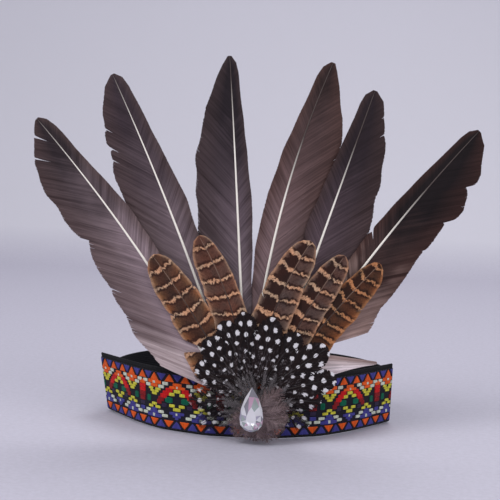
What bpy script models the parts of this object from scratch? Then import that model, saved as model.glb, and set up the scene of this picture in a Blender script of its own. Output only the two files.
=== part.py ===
"""Feathered headdress: a woven band closed by an elastic strap, with a fan of feathers on its front."""

import math

import bmesh
import bpy
import numpy as np

mm = 0.001

# How far the whole is moved, so that its box stands centred on the origin with its lower edge on the floor.
object_place = (6.56, -70.9, 0.125)

# Band, in millimetres. The front of its backing stands at Y 0 and its lower edge on Z 0.
clearance = 0.3
backing_thickness = 1.6
backing_height = 42.0
backing_half_length = 131.0
ribbon_thickness = 1.0
ribbon_width = 38.0
ribbon_lift = 1.2
ribbon_half_length = 130.0
strap_thickness = 1.6
strap_low = 5.0
strap_width = 30.0
strap_lap = 12.0
loop_back = 171.0
left_flare = 7.0
right_flare = 1.5
band_middle = -10.0
band_steps = 40
strap_steps = 30

# Distance along the band from its middle, and the way it heads there in degrees.
band_bends = (
    (0.0, 0.0),
    (14.0, 1.0),
    (26.0, 22.0),
    (50.0, 26.0),
    (62.0, 43.0),
    (78.0, 47.0),
    (92.0, 54.0),
    (131.0, 56.0),
)

# The fan of feathers stands on this height and leans and curls back over the band.
fan_foot = 20.0
fan_lean = 0.05
fan_curl = 0.00012
fan_wrap = 0.0009
short_flare = 6.0
short_reach = 110.0
cluster_height = 30.0
cluster_curl = 0.012
cluster_low = 14.0

wing_vane = 0.7
wing_shaft = 2.0
wing_shaft_width = 2.6
pheasant_vane = 0.6
pheasant_shaft = 1.3
pheasant_shaft_width = 1.5
guinea_vane = 0.45
guinea_shaft = 0.9
guinea_shaft_width = 1.0
barb_slant = 40.0

# Share of the length, the broad vane of wing feathers 1 to 6, and the narrow vane of all, as shares of their width.
wing_outline = (
    (0.00, 0.00, 0.00, 0.00, 0.00, 0.00, 0.00, 0.00),
    (0.06, 0.00, 0.00, 0.00, 0.00, 0.00, 0.00, 0.00),
    (0.12, 0.52, 0.45, 0.30, 0.30, 0.30, 0.35, 0.22),
    (0.18, 0.87, 0.80, 0.55, 0.55, 0.55, 0.95, 0.42),
    (0.28, 0.99, 0.95, 0.82, 0.82, 0.80, 0.95, 0.64),
    (0.45, 1.00, 1.00, 0.94, 0.97, 0.90, 0.90, 0.92),
    (0.60, 0.90, 1.00, 1.00, 1.00, 1.00, 0.84, 1.00),
    (0.72, 0.90, 0.96, 0.92, 0.97, 0.89, 0.92, 0.86),
    (0.80, 0.87, 0.85, 0.78, 0.89, 0.76, 0.93, 0.72),
    (0.86, 0.80, 0.80, 0.65, 0.73, 0.67, 0.82, 0.63),
    (0.91, 0.66, 0.64, 0.45, 0.50, 0.52, 0.72, 0.59),
    (0.95, 0.42, 0.44, 0.30, 0.32, 0.37, 0.48, 0.55),
    (0.98, 0.22, 0.30, 0.18, 0.18, 0.26, 0.30, 0.42),
    (1.00, 0.05, 0.05, 0.05, 0.05, 0.06, 0.06, 0.10),
)

# Share of the length, then either vane of a pheasant feather and of a guinea fowl feather, as shares of width.
small_outline = (
    (0.00, 0.00, 0.00),
    (0.06, 0.00, 0.00),
    (0.14, 0.45, 0.35),
    (0.28, 0.86, 0.72),
    (0.45, 1.00, 0.92),
    (0.62, 0.98, 1.00),
    (0.76, 0.90, 1.00),
    (0.87, 0.72, 0.86),
    (0.93, 0.55, 0.66),
    (0.97, 0.38, 0.44),
    (1.00, 0.12, 0.16),
)

# Foot across, forward place, length, heading and bend in degrees, left vane, right vane. A feather curves by its bend.
wing_feathers = {
    "wing_feather_1": (-12.5, -7.9, 236.0, -30.0, -15.0, 34.0, 12.0),
    "wing_feather_2": (-9.0, -6.2, 237.0, -19.4, -8.0, 28.3, 12.9),
    "wing_feather_3": (-6.0, -4.5, 231.5, -3.6, -1.8, 28.2, 9.6),
    "wing_feather_4": (-2.5, -3.4, 234.0, 1.0, 21.0, 11.6, 28.4),
    "wing_feather_5": (4.4, -5.1, 221.0, 17.5, 0.5, 12.0, 28.2),
    "wing_feather_6": (7.0, -6.8, 230.0, 29.5, 12.5, 11.0, 30.5),
}

# Foot across, foot height, forward place, length, heading, bend, left vane, right vane.
pheasant_feathers = {
    "pheasant_feather_1": (-8.6, 27.0, -9.9, 109.0, -28.0, -11.0, 15.0, 11.6),
    "pheasant_feather_2": (-5.0, 27.0, -11.3, 111.0, -3.0, -29.0, 14.6, 9.0),
    "pheasant_feather_3": (-0.4, 27.0, -12.7, 110.0, 4.0, 28.0, 12.6, 13.2),
    "pheasant_feather_4": (3.4, 27.0, -10.1, 108.0, 23.0, 11.0, 10.5, 11.8),
    "pheasant_feather_5": (6.4, 27.0, -8.7, 115.0, 33.5, 9.5, 9.0, 14.0),
}

# Way it points in degrees, reach of its tip from the middle of the cluster, width, bend, and its layer.
guinea_feathers = {
    "guinea_feather_1": (-118.0, 42.0, 15.0, -6.0, 1),
    "guinea_feather_2": (-98.0, 43.0, 17.0, 8.0, 0),
    "guinea_feather_3": (-66.0, 43.0, 19.0, 6.0, 1),
    "guinea_feather_4": (-43.0, 49.0, 20.0, 4.0, 2),
    "guinea_feather_5": (-25.0, 53.0, 18.0, 2.0, 1),
    "guinea_feather_6": (-8.0, 55.0, 18.0, -3.0, 0),
    "guinea_feather_7": (11.0, 53.0, 18.0, 2.0, 2),
    "guinea_feather_8": (31.0, 50.0, 18.5, 5.0, 1),
    "guinea_feather_9": (52.0, 57.0, 20.0, 4.0, 2),
    "guinea_feather_10": (73.0, 54.0, 17.5, 4.0, 1),
    "guinea_feather_11": (94.0, 43.0, 16.0, -5.0, 0),
    "guinea_feather_12": (116.0, 40.0, 14.0, 5.0, 1),
}
guinea_front = -14.2
guinea_layer = 1.1
guinea_foot_reach = 7.0
cluster_across = 0.5

# Down tuft: the way each lock points in degrees, its reach, and its thickness.
tuft_back = -16.7
tuft_front = -24.9
tuft_middle_x = 3.0
tuft_middle_z = 22.0
tuft_half_width = 12.0
tuft_half_height = 12.5
down_locks = (
    (-158.0, 17.5, 3.4),
    (-128.0, 19.0, 3.2),
    (-96.0, 18.5, 3.4),
    (-66.0, 18.0, 3.2),
    (-34.0, 18.5, 3.0),
    (-4.0, 19.0, 3.2),
    (28.0, 19.0, 3.0),
    (60.0, 20.0, 3.4),
    (88.0, 20.5, 3.2),
    (118.0, 20.0, 3.4),
    (146.0, 18.5, 3.2),
    (176.0, 18.5, 3.4),
)

crystal_radius = 7.6
crystal_low = 10.0
crystal_high = 39.0
crystal_girdle = 1.0
crystal_depth = 4.8
crystal_table = 0.5
crystal_sides = 10


def clear_scene():
    for item in list(bpy.data.objects):
        bpy.data.objects.remove(item, do_unlink=True)


def new_collection(name):
    collection = bpy.data.collections.new(name)
    bpy.context.scene.collection.children.link(collection)
    return collection


def new_material(name, colour, roughness, metallic=0.0):
    material = bpy.data.materials.new(name)
    material.use_nodes = True
    surface = material.node_tree.nodes["Principled BSDF"]
    surface.inputs["Base Color"].default_value = (*colour, 1.0)
    surface.inputs["Roughness"].default_value = roughness
    surface.inputs["Metallic"].default_value = metallic
    material.diffuse_color = (*colour, 1.0)
    return material


def new_object(name, mesh, material, collection):
    item = bpy.data.objects.new(name, mesh)
    mesh.materials.append(material)
    collection.objects.link(item)
    item.parent = middle
    return item


def sheet(name, rows, weights, thickness, material, even=False):
    """A grid of points in millimetres made solid, each point as thick as its weight says."""
    mesh = bpy.data.meshes.new(name)
    across = len(rows[0])
    points = [tuple(value * mm for value in point) for row in rows for point in row]
    faces = [
        (i * across + j, i * across + j + 1, (i + 1) * across + j + 1, (i + 1) * across + j)
        for i in range(len(rows) - 1)
        for j in range(across - 1)
    ]
    mesh.from_pydata(points, [], faces)
    item = new_object(name, mesh, material, pieces)
    solid = item.modifiers.new("Thickness", "SOLIDIFY")
    solid.thickness = thickness * mm
    solid.offset = 0.0
    solid.use_even_offset = even
    if weights:
        group = item.vertex_groups.new(name="thickness")
        for index, weight in enumerate(value for row in weights for value in row):
            group.add([index], weight, "REPLACE")
        solid.vertex_group = "thickness"
    return item


def band_place(along, outward):
    """A point on the band's path, moved outward from it."""
    steps = np.linspace(0.0, abs(along), 60)
    heading = np.radians(np.interp(steps, *zip(*band_bends)))
    stride = abs(along) / 59
    middle_heading = (heading[1:] + heading[:-1]) / 2
    x = float(np.cos(middle_heading).sum() * stride)
    y = float(np.sin(middle_heading).sum() * stride)
    x += math.sin(heading[-1]) * outward
    y -= math.cos(heading[-1]) * outward
    return band_middle + math.copysign(x, along), y + backing_thickness / 2


def flare(along):
    share = min(abs(along) / backing_half_length, 1.0) ** 2
    return share * (left_flare if along < 0 else right_flare)


def band_sheet(name, half_length, low, high, outward, thickness, material):
    rows = []
    for along in np.linspace(-half_length, half_length, band_steps + 1):
        row = []
        for height in (low, (low + high) / 2, high):
            x, y = band_place(along, outward + flare(along) * height / backing_height)
            row.append((x, y, height))
        rows.append(row)
    return sheet(name, rows, None, thickness, material, even=True)


def strap_sheet(material):
    """The elastic, from inside one end of the band round the back to inside the other."""
    inside = -(backing_thickness + strap_thickness) / 2 - clearance
    end = backing_half_length
    path = [band_place(end - strap_lap, inside), band_place(end - strap_lap / 2, inside), band_place(end - 1.0, inside)]
    start_x, start_y = path[-1]
    half = strap_steps // 2
    for step in range(1, half + 1):
        turn = math.pi / 2 * step / half
        path.append((
            band_middle + (start_x - band_middle) * math.cos(turn) + 3.0 * math.sin(2 * turn),
            start_y + (loop_back - start_y) * math.sin(turn),
        ))
    path = path + [(2 * band_middle - x, y) for x, y in reversed(path[:-1])]
    heights = (strap_low, strap_low + strap_width)
    rows = [[(x, y, height) for height in heights] for x, y in path]
    return sheet("elastic_strap", rows, None, strap_thickness, material, even=True)


def fan_depth(x, z, short):
    rise = max(z - fan_foot, 0.0)
    depth = fan_lean * rise + fan_curl * rise * rise + fan_wrap * x * x
    if short:
        depth -= short_flare * (rise / short_reach) ** 2
        low = min(max(cluster_height - z, 0.0), cluster_low)
        depth += cluster_curl * low * low * (1 + abs(x) / 20)
    return depth


def shaft_line(foot_x, foot_z, length, heading, bend):
    """Function from share of length to the shaft's point and heading, across and up."""
    fine = np.linspace(0.0, 1.0, 201)
    angle = np.radians(heading + bend * fine)
    step = length / 200
    x = foot_x + np.concatenate([[0.0], np.cumsum(np.sin((angle[1:] + angle[:-1]) / 2)) * step])
    z = foot_z + np.concatenate([[0.0], np.cumsum(np.cos((angle[1:] + angle[:-1]) / 2)) * step])
    return lambda share: (
        float(np.interp(share, fine, x)),
        float(np.interp(share, fine, z)),
        math.radians(heading + bend * share),
    )


def barb_width(outline, share, width, length):
    """The width reached by a barb that leaves the shaft at this share and slants toward the tip."""
    shares, values = outline
    low, high = 0.0, width * 1.1
    for _ in range(24):
        guess = (low + high) / 2
        reached = share + guess / math.tan(math.radians(barb_slant)) / length
        if guess < width * np.interp(reached, shares, values, right=0.0):
            low = guess
        else:
            high = guess
    return low


def feather(name, line, length, widths, outlines, stations, vane, shaft, shaft_width, forward, short, camber, material):
    slant = math.radians(barb_slant)
    rows, weights = [], []
    for share in stations:
        x, z, angle = line(share)
        half = shaft_width / 2 * (1.0 - 0.72 * share)
        ridge = max(shaft * (1.0 - 0.7 * share), vane * 1.05)
        bare = share < 0.05
        row, row_weights = [], []
        for side in (-1, 1):
            width = barb_width(outlines[side], share, widths[side], length)
            width = max(width, half * 1.45)
            places = [width, (width + half) / 2, half]
            thick = [vane, vane, vane]
            if bare:
                thick = [shaft * 0.5, shaft * 0.75, shaft * 0.9]
            if side > 0:
                places.reverse()
                thick.reverse()
            for place, much in zip(places, thick):
                ahead = (place - half) / math.tan(slant)
                px = x + side * place * math.cos(angle) + ahead * math.sin(angle)
                pz = z - side * place * math.sin(angle) + ahead * math.cos(angle)
                droop = camber * (0.15 + 0.85 * share**3) * (place / 30.0) ** 2
                row.append((px, forward + fan_depth(px, pz, short) + droop, pz))
                row_weights.append(min(much / shaft, 1.0))
            if side < 0:
                row.append((x, forward + fan_depth(x, z, short), z))
                row_weights.append(min(ridge / shaft, 1.0))
        rows.append(row)
        weights.append(row_weights)
    return sheet(name, rows, weights, shaft, material)


def outline_column(table, column):
    return [row[0] for row in table], [row[column] for row in table]


def down_lock(turn, reach, thickness, material):
    """One tapered lock of down, curling forward at its end."""
    curve = bpy.data.curves.new("lock", "CURVE")
    curve.dimensions = "3D"
    curve.bevel_depth = mm
    curve.bevel_resolution = 1
    curve.use_fill_caps = True
    line = curve.splines.new("POLY")
    line.points.add(3)
    depth = (tuft_back + tuft_front) / 2
    for point, share in zip(line.points, (0.1, 0.5, 0.8, 1.0)):
        x = tuft_middle_x + reach * share * math.sin(math.radians(turn))
        z = tuft_middle_z + reach * share * math.cos(math.radians(turn))
        y = depth + 1.3 + 0.7 * share * math.sin(math.radians(turn * 7))
        point.co = (x * mm, y * mm, z * mm, 1.0)
        point.radius = thickness * (1.0, 1.0, 0.75, 0.22)[(0.1, 0.5, 0.8, 1.0).index(share)]
    item = bpy.data.objects.new("lock", curve)
    cutters.objects.link(item)
    bpy.context.view_layer.update()
    mesh = bpy.data.meshes.new_from_object(item.evaluated_get(bpy.context.evaluated_depsgraph_get()))
    bpy.data.objects.remove(item)
    solid = bpy.data.objects.new("lock", mesh)
    locks.objects.link(solid)
    solid.parent = middle
    solid.hide_render = True
    solid.display_type = "WIRE"
    return solid


def box_cutter(name, low, high):
    mesh = bpy.data.meshes.new(name)
    shape = bmesh.new()
    bmesh.ops.create_cube(shape, size=1.0)
    for vertex in shape.verts:
        vertex.co = [
            (low[axis] + high[axis]) / 2 * mm + vertex.co[axis] * (high[axis] - low[axis]) * mm for axis in range(3)
        ]
    shape.to_mesh(mesh)
    shape.free()
    item = bpy.data.objects.new(name, mesh)
    cutters.objects.link(item)
    item.parent = middle
    item.hide_render = True
    item.display_type = "WIRE"
    return item


def boolean(item, operation, other=None, group=None):
    change = item.modifiers.new(operation.title(), "BOOLEAN")
    change.operation = operation
    change.solver = "EXACT"
    if group:
        change.operand_type = "COLLECTION"
        change.collection = group
    else:
        change.object = other


def down_tuft(material):
    """A flattened heart of down with its locks fused to it, cut flat behind and where the crystal lies."""
    mesh = bpy.data.meshes.new("down_tuft")
    shape = bmesh.new()
    bmesh.ops.create_uvsphere(shape, u_segments=12, v_segments=8, radius=1.0)
    half_depth = (tuft_back - tuft_front) / 2 + 1.5
    for vertex in shape.verts:
        x, y, z = vertex.co
        vertex.co = (
            (tuft_middle_x + x * tuft_half_width) * mm,
            ((tuft_back + tuft_front) / 2 + y * half_depth) * mm,
            (tuft_middle_z + z * tuft_half_height) * mm,
        )
    shape.to_mesh(mesh)
    shape.free()
    item = new_object("down_tuft", mesh, material, pieces)
    for turn, reach, thickness in down_locks:
        down_lock(turn, reach, thickness, material)
    boolean(item, "UNION", group=locks)
    far = 60.0
    boolean(item, "DIFFERENCE", box_cutter("tuft_back_cut", (-far, tuft_back, -far), (far, far, far * 2)))
    boolean(item, "DIFFERENCE", box_cutter("tuft_front_cut", (-far, -far, -far), (far, tuft_front, far * 2)))
    return item


def crystal(material):
    """A flat-backed teardrop: a girdle, a ring of facets and a table."""
    middle_z = crystal_low + crystal_radius
    back = tuft_front - clearance
    front = back - crystal_depth
    reach = crystal_high - middle_z
    open_angle = math.acos(crystal_radius / reach)
    ring = [(0.0, reach)]
    for step in range(crystal_sides):
        turn = open_angle + (2 * math.pi - 2 * open_angle) * step / (crystal_sides - 1)
        ring.append((crystal_radius * math.sin(turn), crystal_radius * math.cos(turn)))
    mesh = bpy.data.meshes.new("crystal")
    shape = bmesh.new()
    for share, depth in ((0.96, back), (1.0, back - 0.4), (1.0, back - crystal_girdle), (crystal_table, front)):
        for x, z in ring:
            shape.verts.new((x * share * mm, depth * mm, (middle_z + z * share) * mm))
    for (x1, z1), (x2, z2) in zip(ring, ring[1:] + ring[:1]):
        x, z = (x1 + x2) / 2 * 0.85, (z1 + z2) / 2 * 0.85
        shape.verts.new((x * mm, (back - crystal_girdle - 2.4) * mm, (middle_z + z) * mm))
    bmesh.ops.convex_hull(shape, input=shape.verts)
    loose = [vertex for vertex in shape.verts if not vertex.link_faces]
    bmesh.ops.delete(shape, geom=loose, context="VERTS")
    bmesh.ops.recalc_face_normals(shape, faces=shape.faces)
    shape.to_mesh(mesh)
    shape.free()
    return new_object("crystal", mesh, material, pieces)


clear_scene()
pieces = new_collection("feathered_headdress")
cutters = new_collection("cutters")
locks = new_collection("down_locks")
middle = bpy.data.objects.new("middle", None)
middle.location = [value * mm for value in object_place]
pieces.objects.link(middle)

black_felt = new_material("black_felt", (0.012, 0.012, 0.014), 0.9)
black_elastic = new_material("black_elastic", (0.015, 0.015, 0.018), 0.75)
ribbon_weave = new_material("ribbon_weave", (0.16, 0.05, 0.04), 0.8)
wing_brown = new_material("wing_brown", (0.09, 0.07, 0.06), 0.6)
pheasant_brown = new_material("pheasant_brown", (0.2, 0.09, 0.04), 0.6)
guinea_black = new_material("guinea_black", (0.03, 0.03, 0.035), 0.6)
grey_down = new_material("grey_down", (0.12, 0.09, 0.075), 0.95)
clear_crystal = new_material("clear_crystal", (0.8, 0.85, 0.9), 0.05)

band_sheet("backing_band", backing_half_length, 0.0, backing_height, 0.0, backing_thickness, black_felt)
ribbon_out = (backing_thickness + ribbon_thickness) / 2 + clearance
ribbon_top = ribbon_lift + ribbon_width
band_sheet("woven_ribbon", ribbon_half_length, ribbon_lift, ribbon_top, ribbon_out, ribbon_thickness, ribbon_weave)
strap_sheet(black_elastic)

wing_stations = [0.0, 0.05, 0.09, 0.13, 0.17, 0.22] + [0.22 + 0.04 * step for step in range(1, 19)] + [0.97, 1.005]
for column, name in enumerate(wing_feathers, 1):
    foot, forward, length, heading, bend, left, right = wing_feathers[name]
    broad, narrow = outline_column(wing_outline, column), outline_column(wing_outline, 7)
    feather(
        name,
        shaft_line(foot, fan_foot, length, heading, bend),
        length,
        {-1: left, 1: right},
        {-1: broad if left > right else narrow, 1: narrow if left > right else broad},
        wing_stations,
        wing_vane,
        wing_shaft,
        wing_shaft_width,
        forward,
        False,
        3.0,
        wing_brown,
    )

small_stations = [0.0, 0.05, 0.1, 0.16, 0.23, 0.31, 0.39, 0.47, 0.55, 0.63, 0.71, 0.78, 0.84, 0.89, 0.95, 1.0]
for name, (foot, low, forward, length, heading, bend, left, right) in pheasant_feathers.items():
    outline = outline_column(small_outline, 1)
    feather(
        name,
        shaft_line(foot, low, length, heading, bend),
        length,
        {-1: left, 1: right},
        {-1: outline, 1: outline},
        small_stations,
        pheasant_vane,
        pheasant_shaft,
        pheasant_shaft_width,
        forward,
        True,
        1.0,
        pheasant_brown,
    )

guinea_stations = [0.0, 0.06, 0.14, 0.24, 0.36, 0.48, 0.6, 0.72, 0.83, 0.92, 1.0]
for name, (turn, reach, width, bend, layer) in guinea_feathers.items():
    outline = outline_column(small_outline, 2)
    start = math.radians(turn)
    length = reach - guinea_foot_reach
    feather(
        name,
        shaft_line(
            cluster_across + guinea_foot_reach * math.sin(start),
            cluster_height + guinea_foot_reach * math.cos(start),
            length,
            turn,
            bend,
        ),
        length,
        {-1: width / 2, 1: width / 2},
        {-1: outline, 1: outline},
        guinea_stations,
        guinea_vane,
        guinea_shaft,
        guinea_shaft_width,
        guinea_front - layer * guinea_layer,
        True,
        1.0,
        guinea_black,
    )

down_tuft(grey_down)
crystal(clear_crystal)
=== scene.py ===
import math
import random

import bmesh
import bpy
import numpy as np
from mathutils import Matrix, Vector


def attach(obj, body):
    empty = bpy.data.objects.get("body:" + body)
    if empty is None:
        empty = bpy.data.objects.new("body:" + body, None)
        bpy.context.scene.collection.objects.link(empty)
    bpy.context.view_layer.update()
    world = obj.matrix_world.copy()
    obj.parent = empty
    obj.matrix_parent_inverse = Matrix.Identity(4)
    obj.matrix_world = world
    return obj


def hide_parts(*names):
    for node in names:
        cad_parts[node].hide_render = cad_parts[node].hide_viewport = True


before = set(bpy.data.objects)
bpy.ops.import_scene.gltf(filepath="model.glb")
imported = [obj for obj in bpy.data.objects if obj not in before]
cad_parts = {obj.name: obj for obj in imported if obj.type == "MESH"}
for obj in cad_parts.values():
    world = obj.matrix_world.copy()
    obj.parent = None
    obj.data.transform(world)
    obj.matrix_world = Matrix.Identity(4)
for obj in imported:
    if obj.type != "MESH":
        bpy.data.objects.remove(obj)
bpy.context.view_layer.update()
scene = bpy.context.scene
print("frame loaded")

mm = 0.001
objectPlace = (6.56, -70.9, 0.125)  # as in the part's source, so the same millimetres can be used here


def inScene(point):
    return [(value + shift) * mm for value, shift in zip(point, objectPlace)]


def linked(name, data):
    item = bpy.data.objects.new(name, data)
    scene.collection.objects.link(item)
    return item


def tubeFaces(rings, around):
    # the sides and both ends of a tube whose rings follow each other in the vertex list
    faces = []
    for i in range(rings - 1):
        for j in range(around):
            k = (j + 1) % around
            faces.append((around * i + j, around * i + k, around * (i + 1) + k, around * (i + 1) + j))
    last = around * (rings - 1)
    return [*faces, tuple(reversed(range(around))), tuple(range(last, last + around))]


def closedMesh(name, verts, faces, cutEnds=False):
    mesh = bpy.data.meshes.new(name)
    mesh.from_pydata(verts, [], faces)
    work = bmesh.new()
    work.from_mesh(mesh)
    if cutEnds:
        bmesh.ops.triangulate(work, faces=[face for face in work.faces if len(face.verts) > 4])
    bmesh.ops.recalc_face_normals(work, faces=work.faces)
    work.to_mesh(mesh)
    work.free()
    return mesh


def pointMesh(name, points, columns):
    mesh = bpy.data.meshes.new(name)
    mesh.from_pydata(points, [], [])
    for column, values in columns.items():
        pointValues(mesh, column, values)
    return mesh


def pointValues(mesh, name, values):
    # a number or a vector for every vertex
    values = np.array(values, dtype=float)
    kind, field = ("FLOAT", "value") if values.ndim == 1 else ("FLOAT_VECTOR", "vector")
    mesh.attributes.new(name, kind, "POINT").data.foreach_set(field, values.ravel())


def scaled(colour, factor):
    return tuple(value * factor for value in colour)


# Nodes as Python expressions

class Flow:
    def __init__(self, bench, socket):
        self.bench, self.socket = bench, socket

    def maths(self, operation, *others):
        values = dict(enumerate((self, *others)))
        return self.bench.node("ShaderNodeMath", {"operation": operation}, values)

    def __neg__(self):
        return self.maths("MULTIPLY", -1.0)

    def __rsub__(self, other):
        return self.bench.node("ShaderNodeMath", {"operation": "SUBTRACT"}, {0: other, 1: self})

    def kept(self):
        return self.most(1.0).least(0.0)

    def rise(self, low, high):
        return ((self - low) / (high - low)).kept()


def mathsMethod(operation):
    return lambda self, *others: self.maths(operation, *others)


flowMethods = {
    "__add__": "ADD", "__radd__": "ADD", "__sub__": "SUBTRACT", "__mul__": "MULTIPLY", "__rmul__": "MULTIPLY",
    "__truediv__": "DIVIDE", "__pow__": "POWER", "__gt__": "GREATER_THAN", "__lt__": "LESS_THAN",
    "size": "ABSOLUTE", "sine": "SINE", "floor": "FLOOR", "part": "FRACT", "most": "MINIMUM",
    "least": "MAXIMUM",
}
for method, operation in flowMethods.items():
    setattr(Flow, method, mathsMethod(operation))


class Bench:
    def __init__(self, tree):
        self.tree = tree

    def node(self, kind, settings=None, values=None, output=0):
        made = self.tree.nodes.new(kind)
        for name, value in (settings or {}).items():
            if name == "stops":
                ramp = made.color_ramp
                while len(ramp.elements) < len(value):
                    ramp.elements.new(0.5)
                for element, (place, colour) in zip(ramp.elements, value):
                    element.position, element.color = place, (*colour, 1.0)
            else:
                setattr(made, name, value)
        for name, value in (values or {}).items():
            if isinstance(value, Flow):
                self.tree.links.new(value.socket, made.inputs[name])
            else:
                made.inputs[name].default_value = value
        return Flow(self, made.outputs[output]) if output is not None else made

    def mix(self, share, first, second, blend="MIX"):
        colours = [(*value, 1.0) if isinstance(value, tuple) else value for value in (first, second)]
        return self.node(
            "ShaderNodeMix",
            {"data_type": "RGBA", "blend_type": blend},
            {0: share, 6: colours[0], 7: colours[1]},
            2,
        )

    def tinted(self, colour, tint):
        return self.mix(1.0, colour, tint, "MULTIPLY")

    def grained(self, grain, colour, dull, lit):
        return self.mix(grain, self.tinted(colour, dull), self.tinted(colour, lit))

    def ramp(self, value, stops):
        return self.node("ShaderNodeValToRGB", {"stops": stops}, {0: value})

    def noise(self, place, scale, detail=2.0, roughness=0.5):
        values = {"Vector": place, "Scale": scale, "Detail": detail, "Roughness": roughness}
        return self.node("ShaderNodeTexNoise", {}, values)

    def threeOf(self, x, y, z):
        return self.node("ShaderNodeCombineXYZ", {}, {0: x, 1: y, 2: z})

    def apart(self, vector):
        made = self.node("ShaderNodeSeparateXYZ", {}, {0: vector}, None)
        return [Flow(self, made.outputs[index]) for index in range(3)]


class Finish(Bench):
    def __init__(self, name, plain=None):
        self.material = bpy.data.materials.new(name)
        self.material.use_nodes = True
        super().__init__(self.material.node_tree)
        self.surface = self.tree.nodes["Principled BSDF"]
        for socket, value in (plain or {}).items():
            self.surface.inputs[socket].default_value = value

    def read(self, name):
        return self.node("ShaderNodeAttribute", {"attribute_name": name}, {}, 1)

    def objectPlace(self):
        return self.node("ShaderNodeTexCoord", {}, {}, 3)

    def wear(self, socket, value):
        self.tree.links.new(value.socket, self.surface.inputs[socket])

    def bump(self, height, strength, distance):
        made = self.node("ShaderNodeBump", {}, {"Strength": strength, "Distance": distance, "Height": height})
        self.wear("Normal", made)


# Camera at the photograph's angle

cameraSetup = {
    "x": 57.9, "y": -827.5, "z": 185.3, "turn": 4.42, "pitch": 4.2, "roll": 1.65,
    "lens": 91.8, "sensor": 36.0, "near": 0.01, "far": 20.0,
}

turn, pitch, roll = (math.radians(cameraSetup[name]) for name in ("turn", "pitch", "roll"))
forward = Vector((-math.sin(turn) * math.cos(pitch), math.cos(turn) * math.cos(pitch), -math.sin(pitch)))
level = Vector((math.cos(turn), math.sin(turn), 0.0))
upward = level.cross(forward)
right = level * math.cos(roll) + upward * math.sin(roll)
above = upward * math.cos(roll) - level * math.sin(roll)
cameraData = bpy.data.cameras.new("camera")
cameraData.lens = cameraSetup["lens"]
cameraData.sensor_width = cameraSetup["sensor"]
cameraData.clip_start = cameraSetup["near"]
cameraData.clip_end = cameraSetup["far"]
camera = linked("camera", cameraData)
place = Vector(inScene([cameraSetup[axis] for axis in "xyz"]))
camera.matrix_world = Matrix.Translation(place) @ Matrix((right, above, -forward)).transposed().to_4x4()
scene.camera = camera
print("camera placed")


# Floor, backdrop and lights

studio = {
    "floor": (0.49, 0.475, 0.56), "wall": (0.66, 0.65, 0.72), "flat": (-2.0, -0.5, 1.1), "sweepRadius": 0.6,
    "steps": 16, "wallTop": 3.0, "width": 6.0, "drop": 0.0004, "air": (0.86, 0.86, 0.93, 1.0),
    "airStrength": 0.5,
}

sweepRows = [(y, 0.0) for y in studio["flat"]]
sweepStart, radius = studio["flat"][-1], studio["sweepRadius"]
for step in range(1, studio["steps"] + 1):
    bend = math.pi / 2 * step / studio["steps"]
    sweepRows.append((sweepStart + radius * math.sin(bend), radius * (1 - math.cos(bend))))
sweepRows.append((sweepStart + radius, studio["wallTop"]))
half = studio["width"] / 2
sweepMesh = bpy.data.meshes.new("floor")
sweepMesh.from_pydata(
    [(x, y, z - studio["drop"]) for y, z in sweepRows for x in (-half, half)],
    [],
    [(2 * i, 2 * i + 1, 2 * i + 3, 2 * i + 2) for i in range(len(sweepRows) - 1)],
)
sweepMesh.shade_smooth()
floor = linked("floor", sweepMesh)
floorFinish = Finish("paleFloor", {"Roughness": 0.75})
groundPlace = floorFinish.objectPlace()
_, _, groundZ = floorFinish.apart(groundPlace)
speckle = floorFinish.noise(groundPlace, 260.0, 5.0, 0.7)
floorTone = floorFinish.mix(speckle.rise(0.35, 0.7), studio["floor"], scaled(studio["floor"], 1.12))
floorFinish.wear("Base Color", floorFinish.mix(groundZ.rise(0.0, 0.05), floorTone, studio["wall"]))
floorFinish.bump(speckle, 0.12, 0.001)
sweepMesh.materials.append(floorFinish.material)

world = bpy.data.worlds.new("studioAir")
scene.world = world
world.use_nodes = True
air = world.node_tree.nodes["Background"]
air.inputs["Color"].default_value = studio["air"]
air.inputs["Strength"].default_value = studio["airStrength"]

lamps = {
    "keyLight": {"at": (-0.75, -1.15, 1.35), "aim": (0.0, -0.05, 0.12), "size": 0.8, "power": 16.0},
    "fillLight": {"at": (0.95, -1.2, 0.9), "aim": (0.0, -0.05, 0.12), "size": 1.1, "power": 9.0},
    "backLight": {"at": (0.3, 0.9, 1.5), "aim": (0.0, 0.0, 0.12), "size": 0.9, "power": 9.0},
}
for name, setup in lamps.items():
    data = bpy.data.lights.new(name, "AREA")
    data.size, data.energy = setup["size"], setup["power"]
    lamp = linked(name, data)
    lamp.location = setup["at"]
    lamp.rotation_euler = (Vector(setup["aim"]) - Vector(setup["at"])).to_track_quat("-Z", "Y").to_euler()
scene.view_settings.view_transform = "Standard"
print("studio ready")


# Feather finishes. Each reads the vane's own map: millimetres across, millimetres up the shaft and a tone for
# each barb. Noise sizes are per millimetre. A rise has the values where it begins and where it is full.

barbSlope = 1.19  # how far up the shaft a barb gets for each millimetre out
# one tint lightens a strip beside the shaft as a painted sheen highlight
wingTints = {
    "glow": (1.75, 1.8, 1.9), "shadow": (0.42, 0.36, 0.36), "dull": (0.66, 0.64, 0.66),
    "lit": (1.4, 1.38, 1.4),
}


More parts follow.
